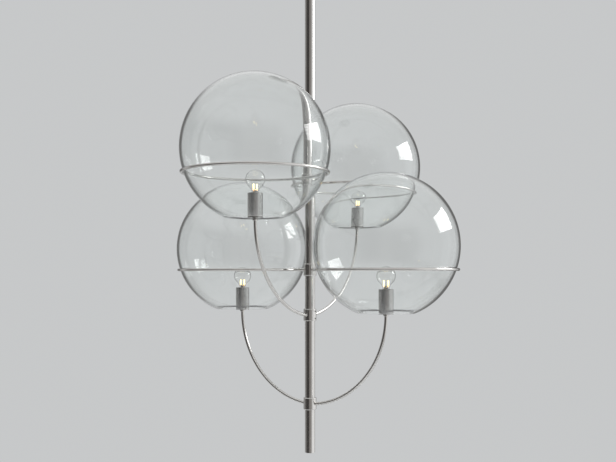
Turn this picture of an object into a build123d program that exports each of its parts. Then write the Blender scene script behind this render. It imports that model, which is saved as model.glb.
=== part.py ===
from build123d import *

import math
import os

# A pendant light: a rigid stem carries two crossed pairs of clear glass globes.
# Each globe rests in a ring, and a curved arm brings its lamp in from below.
# Lengths are in millimetres, +Z is up, and the origin is on the ceiling face.

# Stem and levels
stem_diameter = 25.0
stem_wall = 1.5
stem_top_drop = 36.0
lower_ring_drop = 750.0
level_spacing = 220.0
ring_to_arm_collar = 332.0
stem_tail = 122.0

# Globes
globe_diameter = 344.0
globe_wall = 5.0
globe_mouth_diameter = 138.0
globe_lip_radius = 1.8

# Rings and the links that carry them: the angle is how far below its middle a globe rests
ring_rod_diameter = 7.0
ring_seat_angle = 18.3
ring_to_collar_gap = 30.6
link_diameter = 6.5

# Collars on the stem
collar_diameter = 32.0
collar_height = 30.0
collar_bevel = 1.4
collar_socket_depth = 2.0
set_screw_diameter = 4.0
set_screw_offset = 9.0
set_screw_key = 2.0
set_screw_key_depth = 1.5

# Arms
arm_diameter = 8.0
arm_wall = 1.0

# Lampholders: drops are measured from the ring's plane
cover_top_drop = 46.0
cover_height = 57.0
cover_diameter = 35.0
cover_wall = 1.0
cover_floor = 1.5
cover_edge = 0.4
neck_nut_diameter = 13.0
neck_nut_height = 6.0
neck_nut_seat = 3.5
neck_nut_bevel = 0.8
nipple_diameter = 10.0
nipple_bore = 6.5
nipple_length = 15.0
lampholder_diameter = 28.0
lampholder_recess = 6.5
lampholder_bevel = 1.0
shell_wall = 0.5
shell_height = 16.0
centre_contact_diameter = 6.0
centre_contact_height = 1.2
wire_way_depth = 10.0

# Lamps
bulb_diameter = 45.0
bulb_wall = 0.8
bulb_centre_drop = 15.0
bulb_neck_diameter = 15.6
bulb_neck_height = 4.5
cap_skirt_height = 5.0
cap_skirt_wall = 0.6
cap_thread_diameter = 13.8
cap_thread_groove = 0.5
cap_thread_pitch = 2.8
cap_thread_turns = 5
cap_base_height = 2.0
cap_tip_diameter = 4.0
cap_tip_height = 2.0
emitter_post_diameter = 10.6
emitter_post_height = 11.0
emitter_rod_height = 11.4
emitter_rod_diameter = 3.2
emitter_spacing = 12.0
emitter_bar_height = 1.4

# Ceiling bracket and what hangs the stem from it
bracket_hole_margin = 10.0
bracket_width = 30.0
bracket_thickness = 3.0
bracket_drop = 26.0
bracket_hat_width = 66.0
bracket_hole_spacing = 84.0
bracket_hole_diameter = 5.5
bracket_corner = 3.0
bracket_bend = 0.9
hanger_diameter = 12.0
hanger_bore = 9.0
hanger_stand = 6.0
hanger_grip = 13.0
bush_length = 15.0
nut_flats = 17.0
nut_height = 5.0

# Earth screw and terminal block on the bracket
earth_screw_reach = 20.0
earth_screw_diameter = 4.0
earth_screw_tail = 3.0
earth_head_diameter = 7.5
earth_head_height = 2.6
earth_slot_width = 1.0
earth_slot_depth = 1.2
terminal_length = 14.0
terminal_width = 28.0
terminal_height = 18.0
terminal_clearance = 4.0
terminal_pitch = 6.0
terminal_bore = 3.6
terminal_entry_depth = 5.0
terminal_entry_drop = 5.0
terminal_screw_diameter = 3.0
terminal_screw_length = 2.6
terminal_slot_width = 0.5
terminal_slot_depth = 1.2
terminal_edge = 0.8

# Canopy and its collar
canopy_diameter = 120.0
canopy_height = 59.0
canopy_wall = 1.2
canopy_corner = 5.0
canopy_ceiling_gap = 1.0
canopy_stem_gap = 0.5
canopy_collar_diameter = 34.0
canopy_collar_height = 12.0

# Leads
lead_diameter = 3.0
lead_circle_radius = 2.6
lead_turn_radius = 6.5
lead_bend_radius = 3.0
lead_hole_diameter = 5.0
lead_crossing_rise = 4.0
lead_run_in = 4.0

# Fits, gaps and overruns
slip_gap = 0.1
rest_gap = 0.3
overrun = 2.0
end_cap_length = 6.0
end_cap_bevel = 0.6

# How far along the block each lead enters, in pitches, and whether it crosses over
lead_slot_shares = {
    "upper_front": (-1.5, 0),
    "lower_right": (-0.5, 0),
    "lower_left": (0.5, 1),
    "upper_back": (1.5, 0),
}

# Worked-out sizes
stem_radius = stem_diameter / 2
stem_bore_radius = stem_radius - stem_wall
collar_radius = collar_diameter / 2
collar_bore_radius = stem_radius + slip_gap
socket_floor_radius = collar_radius - collar_socket_depth
globe_radius = globe_diameter / 2
mouth_radius = globe_mouth_diameter / 2
touch_radius = globe_radius + ring_rod_diameter / 2 + rest_gap
ring_radius = touch_radius * math.cos(math.radians(ring_seat_angle))
globe_lift = touch_radius * math.sin(math.radians(ring_seat_angle))
lamp_reach = collar_radius + ring_to_collar_gap + ring_rod_diameter / 2 + ring_radius
mouth_drop = math.sqrt(globe_radius**2 - mouth_radius**2) - globe_lift
lower_ring_z = -lower_ring_drop
upper_ring_z = lower_ring_z + level_spacing
lower_arm_z = lower_ring_z - ring_to_arm_collar
upper_arm_z = upper_ring_z - ring_to_arm_collar
stem_top_z = -stem_top_drop
stem_end_z = lower_arm_z - stem_tail
cover_bottom_drop = cover_top_drop + cover_height
cover_inside_drop = cover_bottom_drop - cover_floor
nipple_bottom_drop = cover_bottom_drop + neck_nut_seat
nipple_top_drop = nipple_bottom_drop - nipple_length
neck_drop = cover_top_drop
neck_bottom_drop = neck_drop + bulb_neck_height
skirt_bottom_drop = neck_drop + cap_skirt_height
thread_bottom_drop = skirt_bottom_drop + cap_thread_turns * cap_thread_pitch
cap_base_drop = thread_bottom_drop + cap_base_height
tip_drop = cap_base_drop + cap_tip_height
socket_floor_drop = tip_drop + rest_gap + centre_contact_height
lampholder_top_drop = cover_top_drop + lampholder_recess
shell_bore_radius = cap_thread_diameter / 2 + rest_gap
shell_radius = shell_bore_radius + shell_wall
lead_end_drop = nipple_top_drop - wire_way_depth
arm_rise = ring_to_arm_collar - nipple_bottom_drop
arm_run = lamp_reach - socket_floor_radius
arm_bend_radius = (arm_run**2 + arm_rise**2) / (2 * arm_run)
arm_slope = math.degrees(math.asin((arm_bend_radius - arm_run) / arm_bend_radius))
bracket_length = bracket_hole_spacing + bracket_hole_margin + bracket_hole_margin
bracket_foot_z = -bracket_drop - bracket_thickness
hanger_top_z = hanger_stand - bracket_drop
hanger_bottom_z = stem_top_z - hanger_grip
canopy_top_z = -canopy_ceiling_gap
canopy_bottom_z = canopy_top_z - canopy_height
web_inside = bracket_hat_width / 2 - bracket_thickness
terminal_left_x = web_inside - terminal_clearance - terminal_length
terminal_top_z = terminal_height - bracket_drop
lead_entry_z = terminal_top_z - terminal_entry_drop

# Each lamp: its name, its direction from the stem, its ring's and its arm collar's height
lamps = [
    ("upper_front", 270, upper_ring_z, upper_arm_z),
    ("upper_back", 90, upper_ring_z, upper_arm_z),
    ("lower_right", 0, lower_ring_z, lower_arm_z),
    ("lower_left", 180, lower_ring_z, lower_arm_z),
]
levels = [
    ("upper", 270, upper_ring_z, upper_arm_z),
    ("lower", 0, lower_ring_z, lower_arm_z),
]


def radial(azimuth):
    turn = math.radians(azimuth)
    return Vector(math.cos(turn), math.sin(turn), 0)


def side_plane(azimuth, height, reach=0.0):
    """An upright plane: local x points away from the stem and local y points up."""
    outward = radial(azimuth)
    origin = outward * reach + Vector(0, 0, height)
    return Plane(origin=origin, x_dir=outward, z_dir=outward.cross(Vector(0, 0, 1)))


def lamp_plane(azimuth, ring_z):
    """The upright plane whose local y axis is the lamp's own axis."""
    return side_plane(azimuth, ring_z, lamp_reach)


def lamp_floor(azimuth, ring_z, drop):
    """A level plane centred on the lamp's axis, whose local x points away from the stem."""
    origin = radial(azimuth) * lamp_reach + Vector(0, 0, ring_z - drop)
    return Plane(origin=origin, x_dir=radial(azimuth), z_dir=Vector(0, 0, 1))


def upright(plane):
    return Axis(plane.origin, Vector(0, 0, 1))


def outward_plane(azimuth, reach, height):
    """A plane square to a radius, whose normal points away from the stem."""
    origin = radial(azimuth) * reach + Vector(0, 0, height)
    return Plane(origin=origin, x_dir=Vector(0, 0, 1), z_dir=radial(azimuth))


def arm_direction(azimuth):
    """The direction in which an arm leaves its collar."""
    slope = math.radians(arm_slope)
    return radial(azimuth) * math.cos(slope) + Vector(0, 0, math.sin(slope))


def arm_start_plane(azimuth, arm_z):
    """The plane of an arm's inner end, on the floor of its socket."""
    start = radial(azimuth) * socket_floor_radius + Vector(0, 0, arm_z)
    return Plane(origin=start, x_dir=radial(azimuth + 90), z_dir=arm_direction(azimuth))


def set_screw_planes(azimuth, height):
    """The inner ends of a collar's two set screws, one above the other."""
    side = azimuth + 90
    above = outward_plane(side, stem_radius, height + set_screw_offset)
    below = outward_plane(side, stem_radius, height - set_screw_offset)
    return [above, below]


def save(builder, name):
    builder.part.label = name
    export_step(builder.part, "parts/" + name + ".step")


def outline(points):
    """A closed outline drawn at its own coordinates."""
    return Polygon(*points, align=None)


def tube_section(outer, inner):
    Circle(outer)
    Circle(inner, mode=Mode.SUBTRACT)


def make_stem():
    with BuildPart() as stem:
        with BuildSketch(Plane.XY.offset(stem_end_z)):
            tube_section(stem_radius, stem_bore_radius)
        extrude(amount=stem_top_z - stem_end_z)
        for name, azimuth, ring_z, arm_z in lamps:
            with BuildSketch(arm_start_plane(azimuth, arm_z)):
                Circle(lead_hole_diameter / 2)
            extrude(amount=-stem_radius, mode=Mode.SUBTRACT)
    save(stem, "stem")


def make_stem_end_cap():
    with BuildPart() as cap:
        with BuildSketch(Plane.XY.offset(stem_end_z)):
            Circle(stem_bore_radius - slip_gap)
        extrude(amount=end_cap_length)
        chamfer(cap.edges().group_by(Axis.Z)[0], length=end_cap_bevel)
    save(cap, "stem_end_cap")


def make_stem_top_bush():
    """The threaded bush in the top of the stem."""
    with BuildPart() as bush:
        with BuildSketch(Plane.XY.offset(stem_top_z)):
            tube_section(stem_bore_radius - slip_gap, hanger_diameter / 2 + slip_gap)
        extrude(amount=-bush_length)
    save(bush, "stem_top_bush")


def make_collar(name, azimuth, height, holds_arms):
    """A bevelled sleeve on the stem with two sockets and two set screw holes."""
    with BuildPart() as collar:
        with BuildSketch(Plane.XY.offset(height - collar_height / 2)):
            Circle(collar_radius)
        extrude(amount=collar_height)
        chamfer(collar.edges().filter_by(GeomType.CIRCLE), length=collar_bevel)
        with BuildSketch(Plane.XY.offset(height - collar_height / 2)):
            Circle(collar_bore_radius)
        extrude(amount=collar_height, mode=Mode.SUBTRACT)
        for side in (azimuth, azimuth + 180):
            floor = outward_plane(side, socket_floor_radius, height)
            if holds_arms:
                floor = arm_start_plane(side, height)
                with BuildSketch(floor):
                    Circle(lead_hole_diameter / 2)
                extrude(amount=-socket_floor_radius, mode=Mode.SUBTRACT)
            with BuildSketch(floor):
                Circle((arm_diameter if holds_arms else link_diameter) / 2 + slip_gap)
            extrude(amount=collar_socket_depth + overrun, mode=Mode.SUBTRACT)
        for place in set_screw_planes(azimuth, height):
            with BuildSketch(place.offset(-overrun)):
                Circle(set_screw_diameter / 2 + slip_gap)
            extrude(amount=collar_radius, mode=Mode.SUBTRACT)
    save(collar, name)


def make_set_screws():
    """The screws that lock the four collars to the stem."""
    length = collar_radius - stem_radius - collar_bevel / 2
    with BuildPart() as screws:
        for name, azimuth, ring_z, arm_z in levels:
            for place in set_screw_planes(azimuth, ring_z) + set_screw_planes(azimuth, arm_z):
                with BuildSketch(place):
                    Circle(set_screw_diameter / 2)
                extrude(amount=length)
                with BuildSketch(place.offset(length)):
                    RegularPolygon(set_screw_key / 2, 6)
                extrude(amount=-set_screw_key_depth, mode=Mode.SUBTRACT)
    save(screws, "collar_set_screws")


def make_ring(name, azimuth, ring_z):
    """A round ring with the straight link that joins it to its collar."""
    lamp = lamp_plane(azimuth, ring_z)
    with BuildPart() as ring:
        with BuildSketch(lamp):
            with Locations((ring_radius, 0)):
                Circle(ring_rod_diameter / 2)
        revolve(axis=upright(lamp))
        with BuildSketch(outward_plane(azimuth, socket_floor_radius, ring_z)):
            Circle(link_diameter / 2)
        extrude(amount=lamp_reach - ring_radius - socket_floor_radius)
    save(ring, name)


def make_arm(name, azimuth, arm_z):
    """A bent tube that leaves its collar at a slight rise and ends upright."""
    centre = (lamp_reach - arm_bend_radius, arm_rise)
    with BuildPart() as arm:
        with BuildLine(side_plane(azimuth, arm_z)) as path:
            CenterArc(centre, arm_bend_radius, arm_slope - 90, 90 - arm_slope)
        with BuildSketch(arm_start_plane(azimuth, arm_z)):
            tube_section(arm_diameter / 2, arm_diameter / 2 - arm_wall)
        sweep(path=path.wire())
    save(arm, name)


def make_neck_nuts():
    """The round nuts that lock each lampholder to the top of its arm."""
    outer = neck_nut_diameter / 2
    wide = nipple_diameter / 2 + slip_gap
    tight = arm_diameter / 2 + slip_gap
    top = -cover_bottom_drop
    bottom = top - neck_nut_height
    profile = [
        (wide, top),
        (outer, top),
        (outer, bottom + neck_nut_bevel),
        (outer - neck_nut_bevel, bottom),
        (tight, bottom),
        (tight, -nipple_bottom_drop),
        (wide, -nipple_bottom_drop),
    ]
    with BuildPart() as nuts:
        for name, azimuth, ring_z, arm_z in lamps:
            lamp = lamp_plane(azimuth, ring_z)
            with BuildSketch(lamp):
                outline(profile)
            revolve(axis=upright(lamp))
    save(nuts, "neck_nuts")


def make_holder_nipples():
    with BuildPart() as nipples:
        for name, azimuth, ring_z, arm_z in lamps:
            with BuildSketch(lamp_floor(azimuth, ring_z, nipple_bottom_drop)):
                tube_section(nipple_diameter / 2, nipple_bore / 2)
            extrude(amount=nipple_length)
    save(nipples, "holder_nipples")


def make_holder_cover(name, azimuth, ring_z):
    """The metal cup that hides a lampholder."""
    lamp = lamp_plane(azimuth, ring_z)
    outer = cover_diameter / 2
    hole = nipple_diameter / 2 + slip_gap
    with BuildPart() as cover:
        with BuildSketch(lamp):
            outline([
                (hole, -cover_bottom_drop),
                (outer, -cover_bottom_drop),
                (outer, -cover_top_drop),
                (outer - cover_wall, -cover_top_drop),
                (outer - cover_wall, -cover_inside_drop),
                (hole, -cover_inside_drop),
            ])
        revolve(axis=upright(lamp))
        circles = cover.edges().filter_by(GeomType.CIRCLE).group_by(Axis.Z)
        foot = circles[0].sort_by(SortBy.RADIUS)[-1]
        fillet(circles[-1], radius=cover_edge)
        fillet(foot, radius=cover_edge)
    save(cover, name)


def make_lampholder(name, azimuth, ring_z):
    """The insulating body: a socket above, a threaded entry and a wire way below."""
    lamp = lamp_plane(azimuth, ring_z)
    bore = shell_radius + slip_gap
    entry = nipple_diameter / 2 + slip_gap
    way = lead_diameter / 2 + slip_gap
    outer = lampholder_diameter / 2
    with BuildPart() as body:
        with BuildSketch(lamp):
            outline([
                (0, -socket_floor_drop),
                (bore, -socket_floor_drop),
                (bore, -lampholder_top_drop),
                (outer - lampholder_bevel, -lampholder_top_drop),
                (outer, -lampholder_top_drop - lampholder_bevel),
                (outer, -cover_inside_drop),
                (entry, -cover_inside_drop),
                (entry, -nipple_top_drop),
                (way, -nipple_top_drop),
                (way, -lead_end_drop),
                (0, -lead_end_drop),
            ])
        revolve(axis=upright(lamp))
    save(body, name)


def make_holder_contacts():
    """A screw shell and a centre contact for each lampholder."""
    with BuildPart() as contacts:
        for name, azimuth, ring_z, arm_z in lamps:
            floor = lamp_floor(azimuth, ring_z, socket_floor_drop)
            with BuildSketch(floor):
                Circle(centre_contact_diameter / 2)
            extrude(amount=centre_contact_height)
            with BuildSketch(floor):
                tube_section(shell_radius, shell_bore_radius)
            extrude(amount=shell_height)
    save(contacts, "holder_contacts")


def make_bulb_glass(name, azimuth, ring_z):
    """The clear envelope: a neck, a flare and a round head, hollow inside."""
    lamp = lamp_plane(azimuth, ring_z)
    reach = neck_drop - bulb_centre_drop
    with BuildPart() as glass:
        for inset, mode in ((0, Mode.ADD), (bulb_wall, Mode.SUBTRACT)):
            head = bulb_diameter / 2 - inset
            neck = bulb_neck_diameter / 2 - inset
            flare = (reach**2 + neck**2 - head**2) / (2 * (head - neck))
            turn = math.degrees(math.atan2(reach, neck + flare))
            with BuildSketch(lamp):
                with BuildLine():
                    Line((0, -neck_bottom_drop), (neck, -neck_bottom_drop))
                    Line((neck, -neck_bottom_drop), (neck, -neck_drop))
                    CenterArc((neck + flare, -neck_drop), flare, 180, -turn)
                    CenterArc((0, -bulb_centre_drop), head, -turn, 90 + turn)
                    Line((0, head - bulb_centre_drop), (0, -neck_bottom_drop))
                make_face()
            revolve(axis=upright(lamp), mode=mode)
    save(glass, name)


def make_bulb_cap(name, azimuth, ring_z):
    """The screw cap: a skirt round the glass neck, a thread, a base and a tip."""
    lamp = lamp_plane(azimuth, ring_z)
    neck = bulb_neck_diameter / 2 + slip_gap
    thread = cap_thread_diameter / 2
    tip = cap_tip_diameter / 2
    ridges = []
    for turn in range(cap_thread_turns):
        top = -skirt_bottom_drop - turn * cap_thread_pitch
        ridges.append((thread - cap_thread_groove, top))
        ridges.append((thread, top - cap_thread_pitch / 2))
    with BuildPart() as cap:
        with BuildSketch(lamp):
            outline([
                (0, -neck_bottom_drop),
                (neck, -neck_bottom_drop),
                (neck, -neck_drop),
                (neck + cap_skirt_wall, -neck_drop),
                (neck + cap_skirt_wall, -skirt_bottom_drop),
                *ridges,
                (thread - cap_thread_groove, -thread_bottom_drop),
                (tip, -cap_base_drop),
                (tip, -tip_drop),
                (0, -tip_drop),
            ])
        revolve(axis=upright(lamp))
    save(cap, name)


def make_bulb_emitter(name, azimuth, ring_z):
    """The lit part: two upright rods between a lower and an upper bar, on a post."""
    floor = lamp_floor(azimuth, ring_z, neck_bottom_drop)
    rods_top = emitter_post_height + emitter_bar_height + emitter_rod_height
    with BuildPart() as emitter:
        with BuildSketch(floor):
            Circle(emitter_post_diameter / 2)
        extrude(amount=emitter_post_height)
        with BuildSketch(floor.offset(emitter_post_height)):
            with GridLocations(emitter_spacing, 0, 2, 1):
                Circle(emitter_rod_diameter / 2)
        extrude(amount=emitter_bar_height + emitter_rod_height)
        with BuildSketch(floor.offset(emitter_post_height), floor.offset(rods_top)):
            SlotCenterToCenter(emitter_spacing, emitter_rod_diameter)
        extrude(amount=emitter_bar_height)
    save(emitter, name)


def make_globe(name, azimuth, ring_z):
    """A clear sphere with a round mouth at the bottom, resting in its ring."""
    lamp = lamp_plane(azimuth, ring_z)
    with BuildPart() as globe:
        with BuildSketch(lamp):
            with Locations((0, globe_lift)):
                Circle(globe_radius)
                Circle(globe_radius - globe_wall, mode=Mode.SUBTRACT)
            with Locations((-globe_radius, globe_lift)):
                Rectangle(globe_diameter, globe_diameter + overrun, mode=Mode.SUBTRACT)
            with Locations((0, -mouth_drop)):
                Rectangle(
                    globe_diameter,
                    globe_diameter,
                    align=(Align.CENTER, Align.MAX),
                    mode=Mode.SUBTRACT,
                )
        revolve(axis=upright(lamp))
        lip = globe.edges().filter_by(GeomType.CIRCLE).group_by(Axis.Z)[0]
        fillet(lip, radius=globe_lip_radius)
    save(globe, name)


def lead_route(name, azimuth, ring_z, arm_z):
    """The corners of a lead from its arm's foot, up the stem and into the block."""
    slot, crossing = lead_slot_shares[name]
    inner = radial(azimuth) * lead_circle_radius
    fall = (socket_floor_radius - lead_circle_radius) * math.tan(math.radians(arm_slope))
    over_z = lead_entry_z + crossing * lead_crossing_rise
    side = slot * terminal_pitch
    foot = arm_start_plane(azimuth, arm_z).origin
    near = terminal_left_x - lead_run_in
    route = [
        foot,
        inner + Vector(0, 0, arm_z - fall),
        inner + Vector(0, 0, over_z),
    ]
    if crossing:
        route.append(Vector(near - lead_crossing_rise, side, over_z))
    route.append(Vector(near + crossing * lead_run_in / 2, side, lead_entry_z))
    route.append(Vector(terminal_left_x + terminal_entry_depth, side, lead_entry_z))
    radii = [lead_turn_radius] + [lead_bend_radius] * (len(route) - 3)
    return route, radii


def make_lead(name, azimuth, ring_z, arm_z):
    route, radii = lead_route(name, azimuth, ring_z, arm_z)
    side = side_plane(azimuth, arm_z)
    middle_turn = math.radians(arm_slope / 2 - 45)
    middle = (
        lamp_reach - arm_bend_radius + arm_bend_radius * math.cos(middle_turn),
        arm_rise + arm_bend_radius * math.sin(middle_turn),
    )
    top = side.from_local_coords(Vector(lamp_reach, ring_to_arm_collar - lead_end_drop, 0))
    bend_top = side.from_local_coords(Vector(lamp_reach, arm_rise, 0))
    bend_middle = side.from_local_coords(Vector(middle[0], middle[1], 0))
    with BuildPart() as lead:
        with BuildLine() as path:
            Line(top, bend_top)
            ThreePointArc(bend_top, bend_middle, route[0])
            FilletPolyline(*route, radius=radii)
        with BuildSketch(Plane(origin=top, z_dir=Vector(0, 0, -1))):
            Circle(lead_diameter / 2)
        sweep(path=path.wire())
    save(lead, "lead_" + name)


def make_bracket():
    """The strap on the ceiling, whose middle hangs down like a hat."""
    hat = bracket_hat_width / 2
    end = bracket_length / 2
    right = [
        (web_inside, -bracket_drop),
        (web_inside, 0),
        (end, 0),
        (end, -bracket_thickness),
        (hat, -bracket_thickness),
        (hat, bracket_foot_z),
    ]
    left = [(-x, z) for x, z in reversed(right)]
    with BuildPart() as bracket:
        with BuildSketch(Plane.XZ):
            outline(right + left)
        extrude(amount=bracket_width / 2, both=True)
        across = bracket.edges().filter_by(Axis.Y)
        fillet(across.filter_by_position(Axis.X, -hat, hat), radius=bracket_bend)
        with BuildSketch(Plane.XY):
            RectangleRounded(bracket_length, bracket_width, bracket_corner)
        extrude(amount=bracket_foot_z, mode=Mode.INTERSECT)
        with BuildSketch(Plane.XY):
            with GridLocations(bracket_hole_spacing, 0, 2, 1):
                Circle(bracket_hole_diameter / 2)
            Circle(hanger_diameter / 2 + slip_gap)
            with Locations((-earth_screw_reach, 0)):
                Circle(earth_screw_diameter / 2 + slip_gap)
        extrude(amount=bracket_foot_z - overrun, mode=Mode.SUBTRACT)
    save(bracket, "ceiling_bracket")


def make_hanger():
    """The hollow threaded rod that hangs the stem from the bracket."""
    with BuildPart() as hanger:
        with BuildSketch(Plane.XY.offset(hanger_bottom_z)):
            tube_section(hanger_diameter / 2, hanger_bore / 2)
        extrude(amount=hanger_top_z - hanger_bottom_z)
    save(hanger, "hanger_nipple")


def make_hanger_nuts():
    with BuildPart() as nuts:
        for bottom_z in (-bracket_drop, bracket_foot_z - nut_height):
            with BuildSketch(Plane.XY.offset(bottom_z)):
                RegularPolygon(nut_flats / 2, 6, major_radius=False)
                Circle(hanger_diameter / 2 + slip_gap, mode=Mode.SUBTRACT)
            extrude(amount=nut_height)
    save(nuts, "hanger_nuts")


def make_earth_screw():
    with BuildPart() as screw:
        with BuildSketch(Plane.XY.offset(-bracket_drop)):
            with Locations((-earth_screw_reach, 0)):
                Circle(earth_head_diameter / 2)
        extrude(amount=earth_head_height)
        with BuildSketch(Plane.XY.offset(-bracket_drop)):
            with Locations((-earth_screw_reach, 0)):
                Circle(earth_screw_diameter / 2)
        extrude(amount=-bracket_thickness - earth_screw_tail)
        with BuildSketch(Plane.XY.offset(earth_head_height - bracket_drop)):
            with Locations((-earth_screw_reach, 0)):
                Rectangle(earth_slot_width, earth_head_diameter)
        extrude(amount=-earth_slot_depth, mode=Mode.SUBTRACT)
    save(screw, "earth_screw")


def terminal_centre_x():
    return terminal_left_x + terminal_length / 2


def make_terminal_block():
    slots = [slot * terminal_pitch for slot, crossing in lead_slot_shares.values()]
    with BuildPart() as block:
        with BuildSketch(Plane.XY.offset(-bracket_drop)):
            with Locations((terminal_centre_x(), 0)):
                Rectangle(terminal_length, terminal_width)
        extrude(amount=terminal_height)
        fillet(block.edges().filter_by(Axis.Z), radius=terminal_edge)
        for x, depth in ((terminal_left_x, 1), (terminal_left_x + terminal_length, -1)):
            face = Plane(origin=(x, 0, lead_entry_z), x_dir=(0, 1, 0), z_dir=(1, 0, 0))
            with BuildSketch(face):
                with Locations(*[(side, 0) for side in slots]):
                    Circle(terminal_bore / 2)
            extrude(amount=depth * terminal_entry_depth, mode=Mode.SUBTRACT)
        with BuildSketch(Plane.XY.offset(terminal_top_z)):
            with Locations(*[(terminal_centre_x(), side) for side in slots]):
                Circle(terminal_screw_diameter / 2 + slip_gap)
        extrude(amount=-terminal_screw_length, mode=Mode.SUBTRACT)
    save(block, "terminal_block")


def make_terminal_screws():
    slots = [slot * terminal_pitch for slot, crossing in lead_slot_shares.values()]
    places = [(terminal_centre_x(), side) for side in slots]
    with BuildPart() as screws:
        with BuildSketch(Plane.XY.offset(terminal_top_z - terminal_screw_length)):
            with Locations(*places):
                Circle(terminal_screw_diameter / 2)
        extrude(amount=terminal_screw_length)
        with BuildSketch(Plane.XY.offset(terminal_top_z)):
            with Locations(*places):
                Rectangle(terminal_screw_diameter, terminal_slot_width)
        extrude(amount=-terminal_slot_depth, mode=Mode.SUBTRACT)
    save(screws, "terminal_screws")


def make_canopy():
    """The spun cup that hides the ceiling fitting and slides down the stem."""
    outer = canopy_diameter / 2
    hole = stem_radius + canopy_stem_gap
    floor_z = canopy_bottom_z + canopy_wall
    with BuildPart() as canopy:
        with BuildSketch(Plane.XZ):
            outline([
                (outer, canopy_top_z),
                (outer, canopy_bottom_z),
                (hole, canopy_bottom_z),
                (hole, floor_z),
                (outer - canopy_wall, floor_z),
                (outer - canopy_wall, canopy_top_z),
            ])
        revolve(axis=Axis.Z)
        circles = canopy.edges().filter_by(GeomType.CIRCLE).group_by(Axis.Z)
        foot = circles[0].sort_by(SortBy.RADIUS)[-1]
        inside = circles[1].sort_by(SortBy.RADIUS)[-1]
        fillet(foot, radius=canopy_corner)
        fillet(inside, radius=canopy_corner - canopy_wall)
    save(canopy, "canopy")


def canopy_screw_plane():
    height = canopy_bottom_z - canopy_collar_height / 2
    return outward_plane(0, stem_radius + rest_gap, height)


def make_canopy_collar():
    with BuildPart() as collar:
        with BuildSketch(Plane.XY.offset(canopy_bottom_z)):
            Circle(canopy_collar_diameter / 2)
        body = extrude(amount=-canopy_collar_height)
        chamfer(body.edges().group_by(Axis.Z)[0], length=collar_bevel)
        with BuildSketch(Plane.XY.offset(canopy_bottom_z)):
            Circle(stem_radius + rest_gap)
        extrude(amount=-canopy_collar_height, mode=Mode.SUBTRACT)
        with BuildSketch(canopy_screw_plane().offset(-overrun)):
            Circle(set_screw_diameter / 2 + slip_gap)
        extrude(amount=canopy_collar_diameter / 2, mode=Mode.SUBTRACT)
    save(collar, "canopy_collar")


def make_canopy_screw():
    length = canopy_collar_diameter / 2 - stem_radius - rest_gap - collar_bevel / 2
    with BuildPart() as screw:
        with BuildSketch(canopy_screw_plane()):
            Circle(set_screw_diameter / 2)
        extrude(amount=length)
        with BuildSketch(canopy_screw_plane().offset(length)):
            RegularPolygon(set_screw_key / 2, 6)
        extrude(amount=-set_screw_key_depth, mode=Mode.SUBTRACT)
    save(screw, "canopy_set_screw")


def make_levels():
    for name, azimuth, ring_z, arm_z in levels:
        make_collar("ring_collar_" + name, azimuth, ring_z, False)
        make_collar("arm_collar_" + name, azimuth, arm_z, True)


def make_lamps():
    for name, azimuth, ring_z, arm_z in lamps:
        make_ring("ring_" + name, azimuth, ring_z)
        make_arm("arm_" + name, azimuth, arm_z)
        make_holder_cover("holder_cover_" + name, azimuth, ring_z)
        make_lampholder("lampholder_" + name, azimuth, ring_z)
        make_bulb_glass("bulb_glass_" + name, azimuth, ring_z)
        make_bulb_cap("bulb_cap_" + name, azimuth, ring_z)
        make_bulb_emitter("bulb_emitter_" + name, azimuth, ring_z)
        make_globe("globe_" + name, azimuth, ring_z)
        make_lead(name, azimuth, ring_z, arm_z)


def make_ceiling_fitting():
    make_bracket()
    make_hanger()
    make_hanger_nuts()
    make_earth_screw()
    make_terminal_block()
    make_terminal_screws()
    make_canopy()
    make_canopy_collar()
    make_canopy_screw()


os.makedirs("parts", exist_ok=True)
make_ceiling_fitting()
make_stem()
make_stem_end_cap()
make_stem_top_bush()
make_levels()
make_set_screws()
make_neck_nuts()
make_holder_nipples()
make_holder_contacts()
make_lamps()
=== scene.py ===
import math

import bmesh
import bpy
from bpy.props import FloatProperty, FloatVectorProperty, IntProperty, PointerProperty
from mathutils import Matrix, Vector


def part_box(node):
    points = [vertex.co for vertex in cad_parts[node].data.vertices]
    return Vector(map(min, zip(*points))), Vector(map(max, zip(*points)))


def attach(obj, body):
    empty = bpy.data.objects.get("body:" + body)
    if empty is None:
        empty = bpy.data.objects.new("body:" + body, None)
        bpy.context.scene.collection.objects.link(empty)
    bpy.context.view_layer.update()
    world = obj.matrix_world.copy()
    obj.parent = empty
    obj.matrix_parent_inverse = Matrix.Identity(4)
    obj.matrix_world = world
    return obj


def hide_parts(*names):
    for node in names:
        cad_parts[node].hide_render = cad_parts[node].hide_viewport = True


bl_info = {
    "name": "Globe Cluster Pendant",
    "version": (1, 0, 0),
    "blender": (4, 5, 0),
    "location": "3D View > Sidebar > Pendant",
    "description": "Dresses a rigid-stem pendant light of clear globes resting in rings",
    "category": "Object",
}

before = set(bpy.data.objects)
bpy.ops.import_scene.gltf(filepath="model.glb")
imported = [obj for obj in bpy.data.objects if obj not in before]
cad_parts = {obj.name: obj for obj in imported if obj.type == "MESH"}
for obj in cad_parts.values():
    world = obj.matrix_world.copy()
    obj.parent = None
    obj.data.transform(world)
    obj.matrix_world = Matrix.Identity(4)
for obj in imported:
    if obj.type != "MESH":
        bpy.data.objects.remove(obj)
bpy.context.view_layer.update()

LAMPS = ("upper_front", "upper_back", "lower_right", "lower_left")
LEVELS = ("upper", "lower")
FIXTURE = "fixture"
UP = Vector((0, 0, 1))
# Points closer than this, in metres, are one
MERGE_GAP = 0.000005
# An edge at a globe's mouth that bends more than this gets rounded
RIM_BEND = math.radians(20)
# The part of a noise's range in which a tint goes from its darker to its lighter shade
TINT_ENDS = (0.3, 0.7)
# How far up the lit rods the amber reaches
AMBER_SHARE = 0.35
FULL_TURN = math.tau


# Reading the frame


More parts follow.
